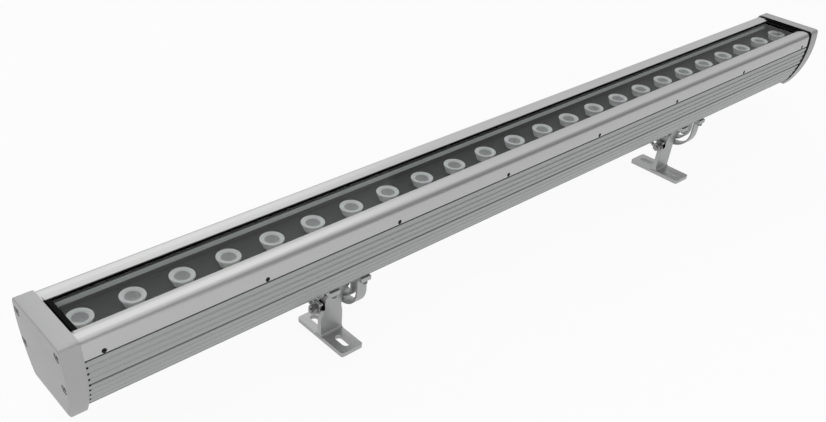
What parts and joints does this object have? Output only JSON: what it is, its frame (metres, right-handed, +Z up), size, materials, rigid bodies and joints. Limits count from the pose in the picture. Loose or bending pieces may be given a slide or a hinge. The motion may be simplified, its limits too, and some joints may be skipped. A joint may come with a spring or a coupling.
{
  "type": "outdoor wall washer light",
  "caption": "Long silver aluminium outdoor wall washer light with a row of clear lenses under glass, on two tilting slotted feet that slide along its underside.",
  "frame": {"origin": "on the mounting surface, under the middle of the whole fitting", "axes": "+X along the lamp towards the cable gland, -Y the front, +Z up out of the mounting surface"},
  "size_m": [0.9984, 0.0754, 0.1363],
  "materials": {
    "body_aluminium": "satin, lengthwise drawn lines",
    "rail_aluminium": "satin anodised",
    "dark_steel": "blackened",
    "glass": "clear tempered",
    "black_rubber": "matte",
    "cap_metal": "fine blasted, silver grey",
    "led_board": "solder mask",
    "steel": "dull",
    "emitter": "phosphor yellow",
    "lens": "clear moulded optic",
    "black_plate": "matte",
    "driver_board": "solder mask",
    "copper_yellow": "tape",
    "capacitor": "sleeve",
    "heat_sink": "satin",
    "terminal": "matte",
    "wire": "insulation",
    "dark_plastic": "matte",
    "bracket_aluminium": "satin"
  },
  "bodies": {
    "foot_left": {"foot_left": "bracket_aluminium", "pivot_bolt_left": "dark_steel", "pivot_nut_left": "steel", "lock_bolt_left": "dark_steel", "lock_nut_left": "dark_steel", "friction_washers_left": "black_rubber"},
    "saddle_left": {"saddle_left": "bracket_aluminium", "slide_nut_left": "steel", "slide_screws_left": "steel", "clamp_screws_left": "dark_steel"},
    "lamp": {"housing": "body_aluminium", "front_rail": "rail_aluminium", "rear_rail": "rail_aluminium", "front_rail_screws": "dark_steel", "rear_rail_screws": "dark_steel", "glass": "glass", "glass_gasket": "black_rubber", "end_cap_left": "cap_metal", "end_cap_right": "cap_metal", "end_gasket_left": "black_rubber", "end_gasket_right": "black_rubber", "cap_screws_left": "dark_steel", "cap_screws_right": "dark_steel", "led_board": "led_board", "board_screws": "steel", "led_emitters": "emitter", "lenses": "lens", "lens_plate": "black_plate", "driver_board": "driver_board", "driver_transformer": "copper_yellow", "driver_capacitors": "capacitor", "driver_heat_sink": "heat_sink", "terminal_block": "terminal", "supply_wires": "wire", "lamp_wires": "wire", "gland_body": "dark_plastic", "gland_seal": "black_rubber", "gland_nut": "dark_plastic"},
    "saddle_right": {"saddle_right": "bracket_aluminium", "slide_nut_right": "steel", "slide_screws_right": "steel", "clamp_screws_right": "dark_steel"},
    "foot_right": {"foot_right": "bracket_aluminium", "pivot_bolt_right": "dark_steel", "pivot_nut_right": "steel", "lock_bolt_right": "dark_steel", "lock_nut_right": "dark_steel", "friction_washers_right": "black_rubber"}
  },
  "joints": [
    {"name": "tilt_left", "type": "hinge", "parent": "foot_left", "child": "saddle_left", "pos_m": [-0.24875, 0, 0.0543], "axis": [1, 0, 0], "range_deg": [-90, 90]},
    {"name": "slide_left", "type": "slide", "parent": "saddle_left", "child": "lamp", "axis": [1, 0, 0], "range_m": [-0.12, 0.12]},
    {"name": "slide_right", "type": "slide", "parent": "lamp", "child": "saddle_right", "axis": [1, 0, 0], "range_m": [-0.12, 0.12]},
    {"name": "tilt_right", "type": "hinge", "parent": "saddle_right", "child": "foot_right", "pos_m": [0.25795, 0, 0.0543], "axis": [1, 0, 0], "range_deg": [-90, 90]}
  ],
  "couplings": [
    {"joint": "tilt_right", "follows": "tilt_left", "ratio": -1}
  ]
}
